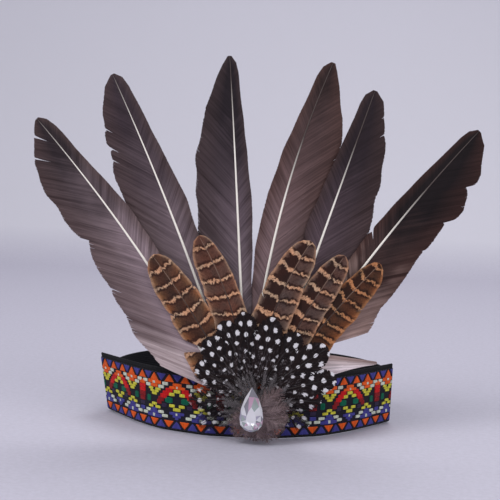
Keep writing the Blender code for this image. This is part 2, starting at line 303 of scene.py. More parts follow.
def wingFinish(name, length, colours, spread, glow, blotch):
    pale, base, middle, tip, edge = colours
    finish = Finish(name, {"Roughness": 0.55, "Specular IOR Level": 0.1})
    across, up, tone = finish.apart(finish.read("vaneMap"))
    out = finish.read("out")
    root = up - across.size() * barbSlope  # where this barb leaves the shaft, so streaks run along the barbs
    streak = finish.noise(finish.threeOf(root, across * 0.03, blotch), 0.17, 3.0, 0.6)
    fine = finish.noise(finish.threeOf(root, across * 0.05, blotch + 3.0), 0.9, 2.0, 0.6)
    cloud = finish.noise(finish.threeOf(across, up, blotch + 9.0), 0.04, 2.0, 0.5)
    # base, middle and tip up the vane, with a pale foot below them
    low, mid, high = spread
    share = (up * 0.6 + root * 0.4) / length + (streak - 0.5) * 0.3 + (cloud - 0.5) * 0.25
    between = tuple((a + b) / 2 for a, b in zip(base, middle))
    stops = ((0.0, base), (low, base), ((low + mid) / 2, between), (mid, middle), (high, tip))
    aboveFoot = (root / length - 0.13 + (streak - 0.5) * 0.1).rise(0.0, 0.07)
    shade = finish.mix(aboveFoot, pale, finish.ramp(share.kept(), stops))
    # a painted sheen highlight beside the shaft, a browner outer edge, dark streaks and the grain of the barbs
    inner = (1.0 - (across.size() / 16.0).rise(0.1, 1.0)) * (1.0 - share.rise(0.5, 0.85))
    shade = finish.mix(inner * glow, shade, finish.tinted(shade, wingTints["glow"]))
    browner = finish.mix(out.rise(0.45, 1.0) * share.rise(0.12, 0.4) * 0.6, shade, edge)
    shadow = streak.rise(0.5, 0.68) * out.rise(0.1, 0.7) * (1.0 - share.rise(0.6, 0.9) * 0.5)
    streaked = finish.mix(shadow * 0.75, browner, finish.tinted(browner, wingTints["shadow"]))
    grain = (tone * 0.4 + fine.rise(0.3, 0.7) * 0.6).kept()
    finish.wear("Base Color", finish.grained(grain, streaked, wingTints["dull"], wingTints["lit"]))
    return finish.material


pheasantTints = {"dull": (0.52, 0.48, 0.47), "lit": (1.45, 1.40, 1.38), "chestnut": (1.3, 0.98, 0.82)}


def pheasantFinish(name, colours, period, leftDark, start):
    ground, blotch, buff, edge = colours
    finish = Finish(name, {"Roughness": 0.6, "Specular IOR Level": 0.15})
    across, up, tone = finish.apart(finish.read("vaneMap"))
    out = finish.read("out")
    wander = finish.noise(finish.threeOf(across * 0.3, up * 0.08, start), 1.0, 2.0, 0.6)
    ragged = finish.noise(finish.threeOf(across * 1.1, up * 0.9, start + 5.0), 0.9, 2.0, 0.7)
    grain = finish.noise(finish.threeOf(across * 1.2, up * 2.0, start + 2.0), 1.0, 2.0, 0.6)
    cloud = finish.noise(finish.threeOf(across * 0.5, up * 0.5, start + 7.0), 0.22, 1.0, 0.5)
    # bars across the vane, measured in millimetres from the middle of the nearest one
    wave = (up - across.size() * 0.16 + (wander - 0.5) * 6.5 + start) / period
    away = (wave.part() - 0.5).size() * period + (ragged - 0.5) * 2.9
    leftVane = (-across).rise(-0.2, 0.6)
    fromBar = away - leftVane * leftDark * 0.55 - (cloud - 0.5) * 1.6
    bar = 1.0 - fromBar.rise(0.45, 1.05)
    border = 1.0 - fromBar.rise(1.3, 3.0)
    # dark ovals between the bars
    inside = 1.0 - (out + (ragged - 0.5) * 0.5).rise(0.62, 0.9)
    oval = out.rise(0.02, 0.14) * inside * fromBar.rise(0.9, 1.7)
    dark = (border + oval * (leftVane * leftDark + 0.3) + ragged.rise(0.48, 0.75) * 0.5).kept()
    body = finish.mix(dark, finish.mix((across.size() / 12.0).rise(0.45, 1.0) * 0.8, ground, edge), blotch)
    rim = out.rise(0.86, 1.0)
    freckle = grain.rise(0.6, 0.78) * (1.0 - dark) * 0.14
    pale = (bar * (1.0 - ragged.rise(0.5, 0.66) * 0.85) + rim * 0.6 + freckle).kept()
    barred = finish.mix(pale * 0.9, body, buff)
    mottle = tone * 0.3 + grain.rise(0.25, 0.75) * 0.35 + wander.rise(0.25, 0.75) * 0.35
    worn = finish.grained(mottle.kept(), barred, pheasantTints["dull"], pheasantTints["lit"])
    chestnut = finish.tinted(worn, pheasantTints["chestnut"])
    finish.wear("Base Color", finish.mix(cloud.rise(0.35, 0.6) * 0.8, worn, chestnut))
    return finish.material


guineaLook = {
    "pitchUp": 7.2, "pitchAcross": 6.9, "near": 40.0, "black": (0.007, 0.005, 0.006),
    "grey": (0.28, 0.25, 0.27),
    "brown": (0.045, 0.024, 0.020), "spot": (0.62, 0.60, 0.63),
}


def guineaFinish(name, start):
    finish = Finish(name, {"Roughness": 0.65, "Specular IOR Level": 0.08})
    across, up, tone = finish.apart(finish.read("vaneMap"))
    pitchUp, pitchAcross = guineaLook["pitchUp"], guineaLook["pitchAcross"]
    warp = finish.noise(finish.threeOf(across * 0.15, up * 0.15, start), 1.0, 1.0)
    # rows are closer together near the foot
    along = (up * (1.3 - up * 0.0035) + start + (warp - 0.5) * 2.4) / pitchUp
    odd = (along.floor() / 2.0).part() * 2.0
    beside = across / pitchAcross + odd * 0.5 + (warp - 0.5) * 0.35
    cellAcross = (beside.part() - 0.5) * pitchAcross
    cellUp = (along.part() - 0.5) * pitchUp
    away = (cellAcross * cellAcross * 1.15 + cellUp * cellUp * 0.85) ** 0.5
    jag = finish.noise(finish.threeOf(across, up, start), 1.1, 1.0)
    # spots grow towards the tip, and grey down fades them near the foot
    height = up / guineaLook["near"]
    radius = height.rise(0.2, 0.8) * 0.85 + 0.72 + (warp - 0.5) * 0.8
    dot = 1.0 - (away - radius + (jag - 0.5) * 0.6).rise(-0.15, 0.2)
    fine = finish.noise(finish.threeOf(across * 0.6, up * 0.12, start + 4.0), 1.7, 3.0, 0.7)
    near = 1.0 - height.rise(0.25, 0.7)
    body = finish.mix(fine.rise(0.54, 0.72) * (near * 0.8 + 0.12), guineaLook["black"], guineaLook["grey"])
    body = finish.mix(tone * 0.22, body, guineaLook["brown"])
    finish.wear("Base Color", finish.mix(dot * (1.0 - near * 0.35), body, guineaLook["spot"]))
    return finish.material


def shaftFinish(name, low, high, length, turnShare):
    finish = Finish(name, {"Roughness": 0.4, "Specular IOR Level": 0.35})
    _, up, _ = finish.apart(finish.read("vaneMap"))
    stops = ((0.0, low), (turnShare, low), (turnShare + 0.2, high))
    finish.wear("Base Color", finish.ramp((up / length).kept(), stops))
    return finish.material


def downFinish(name, dark, light):
    finish = Finish(name, {"Roughness": 0.9, "Sheen Weight": 0.4, "Specular IOR Level": 0.15})
    across, up, tone = finish.apart(finish.read("vaneMap"))
    tuft = finish.noise(finish.threeOf(across * 0.3, up * 0.3, tone * 4.0), 1.0, 2.0, 0.6)
    finish.wear("Base Color", finish.mix((tone * 0.6 + tuft * 0.5).kept(), dark, light))
    return finish.material


# Barb, and the tree that sets barbs along a shaft. All of it in millimetres until the last step.

def barbObject(name, segments, curve, wave):
    # one unit long, wide and thick, thinner towards its tip, and curved or waved off the sheet
    shares = [(i / segments) ** 0.9 for i in range(segments + 1)]
    lifts = [curve * share * share + wave * math.sin(share * 9.0) * share for share in shares]
    verts = []
    for share in shares:
        wide = 0.5 * (1.0 - 0.3 * share ** 3) if share < 1 else 0.22
        thick = 0.5 * (1 - 0.7 * share)
        verts += [(share, 0.0, wide), (share, -thick, 0.0), (share, 0.0, -wide), (share, thick, 0.0)]
    mesh = closedMesh(name, verts, tubeFaces(len(shares), 4))
    pointValues(mesh, "out", [vert[0] for vert in verts])
    pointValues(mesh, "lift", np.repeat(lifts, 4))
    return linked(name, mesh)


def sheetDepth(x, z, inputs):
    rise = (z - inputs["Foot height"]).least(0.0)
    depth = inputs["Lean"] * rise + inputs["Curl"] * rise * rise + inputs["Wrap"] * x * x
    flare = inputs["Flare"] * (rise / 110.0) ** 2.0
    low = (inputs["Cluster height"] - z).least(0.0).most(14.0)
    curl = inputs["Cluster curl"] * low * low * (x.size() / 20.0 + 1.0)
    return depth - flare + curl + inputs["Forward place"]


vaneNumbers = {
    "Barb width": 1.35, "Barb thickness": 0.22, "Shingle": 9.0, "Roll spread": 2.5, "Turn spread": 0.22,
    "Short barbs": 0.012, "Seed": 1, "Length": 230.0, "Camber": 3.0, "Forward place": -7.0,
    "Foot height": 20.0,
    "Lean": 0.05, "Curl": 0.00012, "Wrap": 0.0009, "Flare": 0.0, "Cluster height": 30.0, "Cluster curl": 0.0,
}


class Growth(Bench):
    # a Geometry Nodes tree, with its inputs ready as flows
    def __init__(self, name, kinds, numbers):
        super().__init__(bpy.data.node_groups.new(name, "GeometryNodeTree"))
        face = self.tree.interface
        for socket, kind in {"Geometry": "Geometry", **kinds}.items():
            face.new_socket(socket, in_out="INPUT", socket_type="NodeSocket" + kind)
        for socket, value in numbers.items():
            kind = "NodeSocketInt" if socket == "Seed" else "NodeSocketFloat"
            face.new_socket(socket, in_out="INPUT", socket_type=kind).default_value = value
        face.new_socket("Geometry", in_out="OUTPUT", socket_type="NodeSocketGeometry")
        entry = self.tree.nodes.new("NodeGroupInput")
        self.inputs = {socket.name: Flow(self, socket) for socket in entry.outputs if socket.name}

    def named(self, name):
        return self.node("GeometryNodeInputNamedAttribute", {"data_type": "FLOAT"}, {"Name": name})

    def chance(self, low, high, shift=0):
        seed = self.inputs["Seed"] + shift
        return self.node("FunctionNodeRandomValue", {"data_type": "FLOAT"}, {2: low, 3: high, 8: seed}, 1)

    def store(self, geometry, name, value, kind):
        settings = {"data_type": kind, "domain": "POINT"}
        values = {"Geometry": geometry, "Name": name, "Value": value}
        return self.node("GeometryNodeStoreNamedAttribute", settings, values)

    def shape(self, name):
        return self.node("GeometryNodeObjectInfo", {}, {"Object": self.inputs[name]}, 4)

    def copies(self, points, shape, turn, scale):
        values = {"Points": points, "Instance": self.shape(shape), "Rotation": turn, "Scale": scale}
        return self.node("GeometryNodeInstanceOnPoints", {}, values)

    def shifted(self, geometry, depth):
        offset = self.threeOf(0.0, depth, 0.0)
        return self.node("GeometryNodeSetPosition", {}, {"Geometry": geometry, "Offset": offset})

    def placed(self, geometry, finish):
        # in the scene's place and metres, as one real mesh
        moved = self.node("GeometryNodeTransform", {}, {"Geometry": geometry, "Translation": objectPlace})
        sized = self.node("GeometryNodeTransform", {}, {"Geometry": moved, "Scale": (mm, mm, mm)})
        whole = self.node("GeometryNodeRealizeInstances", {}, {0: sized})
        return self.node("GeometryNodeSetMaterial", {}, {"Geometry": whole, "Material": self.inputs[finish]})

    def ended(self, result):
        exitNode = self.tree.nodes.new("NodeGroupOutput")
        self.tree.links.new(result.socket, exitNode.inputs[0])
        return self.tree


def vaneTree():
    kinds = {"Barb": "Object", "Shaft": "Object", "Vane finish": "Material", "Shaft finish": "Material"}
    bench = Growth("barbedVane", kinds, vaneNumbers)
    inputs, named, chance = bench.inputs, bench.named, bench.chance
    degree = math.radians(1.0)
    long = named("long") * (1.0 - chance(0.0, 1.0, 1) ** 3.0 * inputs["Short barbs"])
    scale = bench.threeOf(long, inputs["Barb thickness"], inputs["Barb width"])
    rollTurn = (named("side") < 0.0) * math.pi + inputs["Shingle"] * named("side") * degree
    rollTurn = rollTurn + chance(-1.0, 1.0, 2) * inputs["Roll spread"] * degree
    swing = named("turn") + chance(-1.0, 1.0, 3) * inputs["Turn spread"] * degree - math.pi / 2
    toned = bench.store(inputs["Geometry"], "tone", chance(0.0, 1.0, 4), "FLOAT")
    put = bench.copies(toned, "Barb", bench.threeOf(rollTurn, swing, 0.0), scale)
    barbs = bench.node("GeometryNodeRealizeInstances", {}, {0: put})
    across = named("side") * named("reach") * named("out")
    up = named("rise") + named("ahead") * named("out")
    mapped = bench.store(barbs, "vaneMap", bench.threeOf(across, up, named("tone")), "FLOAT_VECTOR")
    # droop follows the vane's width, and lift is the barb's own curve off the sheet
    share = (named("rise") / inputs["Length"]).kept()
    droop = inputs["Camber"] * (share ** 3.0 * 0.85 + 0.15) * (across / 30.0) ** 2.0
    bowed = bench.shifted(mapped, droop + named("lift") * named("reach"))
    joined = bench.tree.nodes.new("GeometryNodeJoinGeometry")
    for part in (bowed, bench.shape("Shaft")):
        bench.tree.links.new(part.socket, joined.inputs[0])
    x, _, z = bench.apart(bench.node("GeometryNodeInputPosition"))
    bent = bench.shifted(Flow(bench, joined.outputs[0]), sheetDepth(x, z, inputs))
    vane = bench.placed(bent, "Vane finish")
    values = {"Geometry": vane, "Selection": named("onShaft") > 0.5, "Material": inputs["Shaft finish"]}
    return bench.ended(bench.node("GeometryNodeSetMaterial", {}, values))


def grow(name, roots, tree, settings):
    # a tree's result as a plain mesh, with no modifier left
    item = linked(name, roots)
    change = item.modifiers.new("grow", "NODES")
    change.node_group = tree
    for socket in tree.interface.items_tree:
        if socket.in_out == "INPUT" and socket.name in settings:
            change[socket.identifier] = settings[socket.name]
    bpy.context.view_layer.update()
    graph = bpy.context.evaluated_depsgraph_get()
    mesh = bpy.data.meshes.new_from_object(item.evaluated_get(graph))
    item.modifiers.remove(change)
    item.data = mesh
    return item


# Shafts and vanes

wingOutline = (
    (0.00, 0.00, 0.00, 0.00, 0.00, 0.00, 0.00, 0.00),
    (0.06, 0.00, 0.00, 0.00, 0.00, 0.00, 0.00, 0.00),
    (0.12, 0.52, 0.45, 0.30, 0.30, 0.30, 0.35, 0.22),
    (0.18, 0.87, 0.80, 0.55, 0.55, 0.55, 0.95, 0.42),
    (0.28, 0.99, 0.95, 0.82, 0.82, 0.80, 0.95, 0.64),
    (0.45, 1.00, 1.00, 0.94, 0.97, 0.90, 0.90, 0.92),
    (0.60, 0.90, 1.00, 1.00, 1.00, 1.00, 0.84, 1.00),
    (0.72, 0.90, 0.96, 0.92, 0.97, 0.89, 0.92, 0.86),
    (0.80, 0.87, 0.85, 0.78, 0.89, 0.76, 0.93, 0.72),
    (0.86, 0.80, 0.80, 0.65, 0.73, 0.67, 0.82, 0.63),
    (0.91, 0.66, 0.64, 0.45, 0.50, 0.52, 0.72, 0.59),
    (0.95, 0.42, 0.44, 0.30, 0.32, 0.37, 0.48, 0.55),
    (0.98, 0.22, 0.30, 0.18, 0.18, 0.26, 0.30, 0.42),
    (1.00, 0.05, 0.05, 0.05, 0.05, 0.06, 0.06, 0.10),
)
smallOutline = (
    (0.00, 0.00, 0.00), (0.06, 0.00, 0.00), (0.14, 0.45, 0.35), (0.28, 0.86, 0.72), (0.45, 1.00, 0.92),
    (0.62, 0.98, 1.00), (0.76, 0.93, 1.00), (0.87, 0.83, 0.88), (0.93, 0.70, 0.72), (0.97, 0.55, 0.55),
    (1.00, 0.35, 0.36), (1.015, 0.08, 0.08),
)


def column(table, index):
    return [row[0] for row in table], [row[index] for row in table]


def shaftLine(foot, low, length, heading, bend):
    fine = np.linspace(0.0, 1.0, 201)
    angle = np.radians(heading + bend * fine)
    step = length / 200
    x = foot + np.concatenate([[0.0], np.cumsum(np.sin((angle[1:] + angle[:-1]) / 2)) * step])
    z = low + np.concatenate([[0.0], np.cumsum(np.cos((angle[1:] + angle[:-1]) / 2)) * step])
    return lambda share: (
        float(np.interp(share, fine, x)),
        float(np.interp(share, fine, z)),
        math.radians(heading + bend * share),
    )


def barbReach(outline, share, width, length, slant):
    # how far out a barb gets before it meets the vane's outline
    low, high = 0.0, width * 1.1
    for _ in range(22):
        guess = (low + high) / 2
        reached = share + guess / math.tan(math.radians(slant)) / length
        if guess < width * np.interp(reached, *outline, right=0.0):
            low = guess
        else:
            high = guess
    return low


def shaftObject(name, line, length, wide, thick, thinning, stations=44, around=8):
    verts, ups = [], []
    for i in range(stations):
        share = i / (stations - 1)
        x, z, angle = line(share)
        blunt = 0.6 if i in (0, stations - 1) else 1.0
        half = wide / 2 * (1 - thinning * share) * blunt
        deep = thick / 2 * (1 - thinning * 0.85 * share) * blunt
        for j in range(around):
            spin = 2 * math.pi * j / around
            across = half * math.cos(spin)
            verts.append((x + across * math.cos(angle), deep * math.sin(spin), z - across * math.sin(angle)))
            ups.append((0.0, share * length, 0.5))
    mesh = closedMesh(name, verts, tubeFaces(stations, around))
    mesh.shade_smooth()
    pointValues(mesh, "vaneMap", ups)
    pointValues(mesh, "onShaft", [1.0] * len(verts))
    return linked(name, mesh)


# slants in degrees off the shaft; barbs close up above the given share
barbSetup = {
    "start": 0.05, "slant": 40.0, "closeFrom": 0.8, "closeSpan": 0.2, "closing": 24.0, "shortest": 0.4,
}


def barbRoots(name, line, length, widths, outlines, pitch, splits, lobe=None):
    rng = random.Random(name)
    phase = rng.uniform(0, 20)
    start = barbSetup["start"]
    points, rows = [], []
    count = int(length * (1.0 - start) / pitch)
    for side in (-1, 1):
        for i in range(count + 1):
            share = start + (1.0 - start) * (i + (0.25 if side > 0 else 0.0)) / count
            if share > 1.0:
                continue
            x, z, angle = line(share)
            closed = max((share - barbSetup["closeFrom"]) / barbSetup["closeSpan"], 0.0) ** 1.3
            angled = barbSetup["slant"] - barbSetup["closing"] * closed
            reach = barbReach(outlines[side], share, widths[side], length, angled)
            if reach < barbSetup["shortest"]:
                continue
            lean = angled + 1.3 * math.sin(share * 23 + phase + side) + 0.5 * math.sin(share * 61 + 2 * phase)
            for splitSide, splitShare, below, over, span, cut in splits:
                gap = share - splitShare
                if splitSide == side and abs(gap) < 5 * span:
                    fade = math.exp(-abs(gap) / span)
                    lean += (-over if gap > 0 else below) * fade
                    reach *= 1.0 - cut * (fade if gap < 0 else 0.5 * math.exp(-gap / span * 6.0))
            if lobe and lobe[0] == side and lobe[1] < share < lobe[2]:
                # a loose lobe of down at the vane's foot, turned further out than the rest
                rise = (share - lobe[1]) / (lobe[2] - lobe[1])
                lean = lobe[3] + (lobe[4] - lobe[3]) * rise
                reach = lobe[5] * math.sin(math.radians(angled)) * (1.12 - 0.12 * rise - 0.08 * rise ** 5)
            reach *= 0.99 + 0.012 * math.sin(share * 47 + phase * side)
            long = reach / math.sin(math.radians(angled))
            ahead = reach / math.tan(math.radians(angled))
            points.append((x, 0.0, z))
            rows.append((reach, long, ahead, angle + side * math.radians(lean), share * length, side))
    columns = zip(("reach", "long", "ahead", "turn", "rise", "side"), zip(*rows))
    return pointMesh(name, points, dict(columns))


tree = vaneTree()
stiffBarb = barbObject("stiffBarb", 5, 0.05, 0.0)
shortBarb = barbObject("shortBarb", 4, 0.03, 0.0)
softBarb = barbObject("softBarb", 4, 0.10, 0.02)
helpers = [stiffBarb, shortBarb, softBarb]


def feather(name, line, setup, kind, outlines, finishes, settings):
    # length, widths, splits and lobe are the feather's own; pitch, barb and shaft are its kind's
    length = setup["length"]
    shaft = shaftObject(name + "Shaft", line, length, *kind["shaft"])
    helpers.append(shaft)
    widths = {-1: setup["left"], 1: setup["right"]}
    splits = setup.get("splits", kind.get("splits", ()))
    sides = dict(zip((-1, 1), outlines))
    lobe = setup.get("lobe")
    roots = barbRoots(name + "Roots", line, length, widths, sides, kind["pitch"], splits, lobe)
    return grow(name + "_dressed", roots, tree, {
        **vaneNumbers, "Barb": kind["barb"], "Shaft": shaft, "Vane finish": finishes[0],
        "Shaft finish": finishes[1], "Length": length, **settings,
    })


formColumns = ("foot", "forward", "length", "heading", "bend", "left", "right")


def formed(setup):
    # the row of numbers under its names, beside what else the feather has
    return {**setup, **dict(zip(formColumns, setup["form"]))}


def dress(item, node):
    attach(item, "root")
    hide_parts(node)


# Split: vane side, share of the shaft, degrees opened below it and above it, span, and how far lower barbs
# are cut. Lobe: vane side, from and to as shares of the shaft, degrees out at each, and its barbs' length.
# Colours: pale foot, base, middle, tip, outer edge. Spread: the shares where base ends, middle sits and tip
# begins. Fade: the share where the ivory shaft turns dark.
# A sheen strength sets how far the strip beside the shaft is lightened as a painted sheen highlight.
wingFeathers = {
    "wing_feather_1": {
        "form": (-12.5, -7.9, 236.0, -30.0, -15.0, 34.0, 12.0),
        "splits": [
            (-1, 0.895, 2, 4, 0.012, 0.0), (-1, 0.81, 0.7, 1.5, 0.012, 0.03), (-1, 0.51, -5, -3, 0.05, 0.2),
            (-1, 0.3, 0.3, 0.5, 0.02, 0.04), (1, 0.36, 2, 3, 0.02, 0.1),
        ],
        "spread": (0.14, 0.5, 0.85), "fade": 0.8, "glow": 0.8,
        "colours": (
            (0.4, 0.325, 0.325), (0.2, 0.148, 0.155), (0.146, 0.108, 0.114), (0.025, 0.018, 0.021),
            (0.08, 0.05, 0.046),
        ),
    },
    "wing_feather_2": {
        "form": (-9.0, -6.2, 237.0, -19.4, -8.0, 28.3, 12.9),
        "splits": [
            (-1, 0.7, 0.6, 0.8, 0.012, 0.12), (-1, 0.66, 0.4, 0.5, 0.01, 0.05),
            (-1, 0.76, 0.4, 0.6, 0.012, 0.06),
        ],
        "spread": (0.12, 0.5, 0.85), "fade": 0.8, "glow": 0.75,
        "colours": (
            (0.25, 0.2, 0.21), (0.152, 0.115, 0.122), (0.089, 0.065, 0.07), (0.036, 0.025, 0.031),
            (0.07, 0.045, 0.043),
        ),
    },
    "wing_feather_3": {
        "form": (-6.0, -4.5, 231.5, -3.6, -1.8, 28.2, 9.6),
        "splits": [(-1, 0.3, 1, 2, 0.02, 0.0)],
        "spread": (0.15, 0.5, 0.8), "fade": 0.74, "glow": 0.75,
        "colours": (
            (0.24, 0.19, 0.2), (0.19, 0.148, 0.155), (0.065, 0.047, 0.053), (0.014, 0.01, 0.013),
            (0.05, 0.032, 0.032),
        ),
    },
    "wing_feather_4": {
        "form": (-2.5, -3.4, 234.0, 1.0, 21.0, 11.6, 28.4),
        "splits": [(1, 0.62, 0.3, 0.3, 0.02, 0.04)],
        "spread": (0.15, 0.6, 0.95), "fade": 0.58, "glow": 0.7,
        "colours": (
            (0.25, 0.185, 0.185), (0.15, 0.105, 0.108), (0.082, 0.05, 0.048), (0.024, 0.014, 0.014),
            (0.074, 0.038, 0.032),
        ),
    },
    "wing_feather_5": {
        "form": (4.4, -5.1, 221.0, 17.5, 0.5, 12.0, 28.2),
        "splits": [(1, 0.8, 0.6, 1, 0.008, 0.05), (1, 0.86, 0.5, 0.8, 0.008, 0.04)],
        "spread": (0.12, 0.5, 0.75), "fade": 0.64, "glow": 0.8,
        "colours": (
            (0.24, 0.18, 0.19), (0.15, 0.108, 0.12), (0.056, 0.038, 0.043), (0.018, 0.012, 0.015),
            (0.048, 0.028, 0.026),
        ),
    },
    "wing_feather_6": {
        "form": (7.0, -6.8, 230.0, 29.5, 12.5, 11.0, 30.5),
        "splits": [
            (1, 0.75, -4, 2, 0.03, 0.2), (1, 0.61, 0.2, 0.3, 0.03, 0.16), (1, 0.5, 0.3, 0.4, 0.02, 0.05),
            (-1, 0.54, 2, 3, 0.02, 0.15),
        ],
        "spread": (0.4, 0.5, 0.68), "fade": 0.58, "glow": 0.25, "lobe": (1, 0.06, 0.2, 40.0, 65.0, 53.0),
        "colours": (
            (0.8, 0.7, 0.71), (0.3, 0.205, 0.18), (0.045, 0.025, 0.023), (0.009, 0.006, 0.007),
            (0.05, 0.022, 0.018),
        ),
    },
}
# a kind: height of the shafts' feet, millimetres between barbs, and the shaft's width, thickness and thinning
wingKind = {"low": 20.0, "pitch": 0.72, "barb": stiffBarb, "shaft": (2.7, 2.2, 0.82)}
wingQuill = ((0.84, 0.79, 0.72), (0.06, 0.042, 0.038))

for index, (name, row) in enumerate(wingFeathers.items(), 1):
    setup = formed(row)
    length = setup["length"]
    broad, narrow = column(wingOutline, index), column(wingOutline, 7)
    vane = wingFinish(name + "Vane", length, setup["colours"], setup["spread"], setup["glow"], index * 7.0)
    piece = feather(
        name,
        shaftLine(setup["foot"], wingKind["low"], length, setup["heading"], setup["bend"]),
        setup,
        wingKind,
        (broad, narrow) if setup["left"] > setup["right"] else (narrow, broad),
        (vane, shaftFinish(name + "Quill", *wingQuill, length, setup["fade"])),
        {"Forward place": setup["forward"], "Seed": index * 10},
    )
    dress(piece, name)
print("wing feathers grown")

# Colours: ground, dark blotch, buff bar, outer edge. LeftDark: how much darker the left vane's blotches are.
buffBar = (0.48, 0.33, 0.22)
pheasantFeathers = {
    "pheasant_feather_1": {
        "form": (-8.6, -9.9, 109.0, -28.0, -11.0, 15.0, 11.6),
        "period": 10.8, "leftDark": 0.35, "lobe": (-1, 0.08, 0.32, 50.0, 62.0, 23.0),
        "colours": ((0.085, 0.044, 0.028), (0.032, 0.014, 0.01), buffBar, (0.26, 0.125, 0.055)),
    },
    "pheasant_feather_2": {
        "form": (-5.0, -11.3, 111.0, -3.0, -29.0, 14.6, 9.0),
        "period": 11.6, "leftDark": 0.15,
        "colours": ((0.112, 0.058, 0.044), (0.036, 0.015, 0.011), buffBar, (0.14, 0.085, 0.06)),
    },
    "pheasant_feather_3": {
        "form": (-0.4, -12.7, 110.0, 4.0, 28.0, 12.6, 13.2),
        "period": 10.4, "leftDark": 0.95,
        "colours": ((0.095, 0.066, 0.06), (0.022, 0.009, 0.007), buffBar, (0.16, 0.11, 0.085)),
    },
    "pheasant_feather_4": {
        "form": (3.4, -10.1, 108.0, 23.0, 11.0, 10.5, 11.8),
        "period": 10.0, "leftDark": 0.95,
        "colours": ((0.095, 0.062, 0.055), (0.022, 0.009, 0.007), buffBar, (0.16, 0.105, 0.08)),
    },
    "pheasant_feather_5": {
        "form": (6.4, -8.7, 115.0, 33.5, 9.5, 9.0, 14.0),
        "period": 9.6, "leftDark": 0.8,
        "colours": ((0.075, 0.034, 0.018), (0.02, 0.008, 0.005), (0.4, 0.22, 0.11), (0.18, 0.075, 0.028)),
    },
}
pheasantKind = {
    "low": 27.0, "pitch": 0.62, "barb": stiffBarb, "shaft": (1.3, 1.2, 0.72),
    "splits": [(-1, 0.5, 1, 2, 0.02, 0.03), (1, 0.62, 1, 2, 0.02, 0.05)],
}
pheasantQuill = {"low": (0.035, 0.018, 0.014), "high": (0.17, 0.105, 0.075), "turnShare": 0.62}
pheasantSheet = {"Flare": 6.0, "Cluster curl": 0.012, "Camber": 1.0, "Barb width": 1.15, "Barb thickness": 0.2}

for index, (name, row) in enumerate(pheasantFeathers.items(), 1):
    setup = formed(row)
    length = setup["length"]
    vane = pheasantFinish(name + "Vane", setup["colours"], setup["period"], setup["leftDark"], index * 3.3)
    piece = feather(
        name,
        shaftLine(setup["foot"], pheasantKind["low"], length, setup["heading"], setup["bend"]),
        setup,
        pheasantKind,
        [column(smallOutline, 1)] * 2,
        (vane, shaftFinish(name + "Quill", length=length, **pheasantQuill)),
        {"Forward place": setup["forward"], "Seed": index * 10 + 100, **pheasantSheet},
    )
    dress(piece, name)
print("pheasant feathers grown")

# degrees from upright, reach from the middle, width, bend, layer forward, and barb width, which is small if open
guineaFeathers = {
    "guinea_feather_1": (-118.0, 42.0, 15.0, -6.0, 1, 0.24),
    "guinea_feather_2": (-98.0, 43.0, 17.0, 8.0, 0, 0.28),
    "guinea_feather_3": (-66.0, 43.0, 19.0, 6.0, 1, 0.5),
    "guinea_feather_4": (-43.0, 49.0, 20.0, 4.0, 2, 1.05),
    "guinea_feather_5": (-25.0, 53.0, 18.0, 2.0, 1, 1.05),
    "guinea_feather_6": (-8.0, 55.0, 18.0, -3.0, 0, 1.05),
    "guinea_feather_7": (11.0, 53.0, 18.0, 2.0, 2, 1.05),
    "guinea_feather_8": (31.0, 50.0, 18.5, 5.0, 1, 1.05),
    "guinea_feather_9": (52.0, 57.0, 20.0, 4.0, 2, 1.05),
    "guinea_feather_10": (73.0, 54.0, 17.5, 4.0, 1, 1.05),
    "guinea_feather_11": (94.0, 43.0, 16.0, -5.0, 0, 0.4),
    "guinea_feather_12": (116.0, 40.0, 14.0, 5.0, 1, 0.3),
}
guineaKind = {
    "middle": (0.5, 30.0), "hidden": 7.0, "back": -14.2, "layer": 1.1, "pitch": 0.55, "barb": shortBarb,
    "shaft": (0.7, 0.6, 0.6),
}
guineaSheet = {"Flare": 6.0, "Cluster curl": 0.012, "Camber": 1.0, "Barb thickness": 0.18, "Short barbs": 0.16}
darkQuill = shaftFinish("darkQuill", (0.02, 0.014, 0.014), (0.008, 0.006, 0.007), 45.0, 0.5)

for index, (name, row) in enumerate(guineaFeathers.items(), 1):
    heading, reach, width, bend, layer, barbWidth = row
    hidden, begin = guineaKind["hidden"], math.radians(heading)
    length = reach - hidden
    x, z = guineaKind["middle"]
    piece = feather(
        name,
        shaftLine(x + hidden * math.sin(begin), z + hidden * math.cos(begin), length, heading, bend),
        {"length": length, "left": width / 2, "right": width / 2},
        guineaKind,
        [column(smallOutline, 2)] * 2,
        (guineaFinish(name + "Vane", index * 2.3), darkQuill),
        {
            "Forward place": guineaKind["back"] - guineaKind["layer"] * layer, "Seed": index * 10 + 200,
            "Barb width": barbWidth, **guineaSheet,
        },
    )
    dress(piece, name)
print("guinea feathers grown")


# Down tuft: small plumes of long loose barbs

# rings: plumes, reach, forward place, degrees of the first plume, sweep, width, and the dark and light tones
downTuft = {
    "middle": (2.6, 22.0), "seed": 5, "plumeWidth": 14.0, "floorGap": 2.0, "steepest": 0.6, "upperRing": 25.0,
    "rings": [
        (19, 27.0, -17.9, -122.0, 200.0, 0.32, ((0.007, 0.005, 0.006), (0.15, 0.13, 0.14))),
        (13, 22.5, -18.6, 60.0, 178.0, 1.0, ((0.026, 0.014, 0.015), (0.21, 0.14, 0.145))),
        (11, 20.0, -20.6, 50.0, 195.0, 1.0, ((0.032, 0.018, 0.019), (0.26, 0.18, 0.185))),
        (10, 16.5, -22.6, 42.0, 212.0, 0.9, ((0.036, 0.022, 0.023), (0.31, 0.22, 0.23))),
        (5, 15.0, -17.2, -100.0, 184.0, 1.3, ((0.004, 0.003, 0.004), (0.035, 0.029, 0.032))),
    ],
}
plumeOutline = ([0.0, 0.1, 0.35, 0.7, 0.9, 1.0], [0.5, 0.7, 1.0, 0.95, 0.7, 0.3])
plumeKind = {"pitch": 0.42, "barb": softBarb, "shaft": (0.5, 0.5, 0.6, 10)}
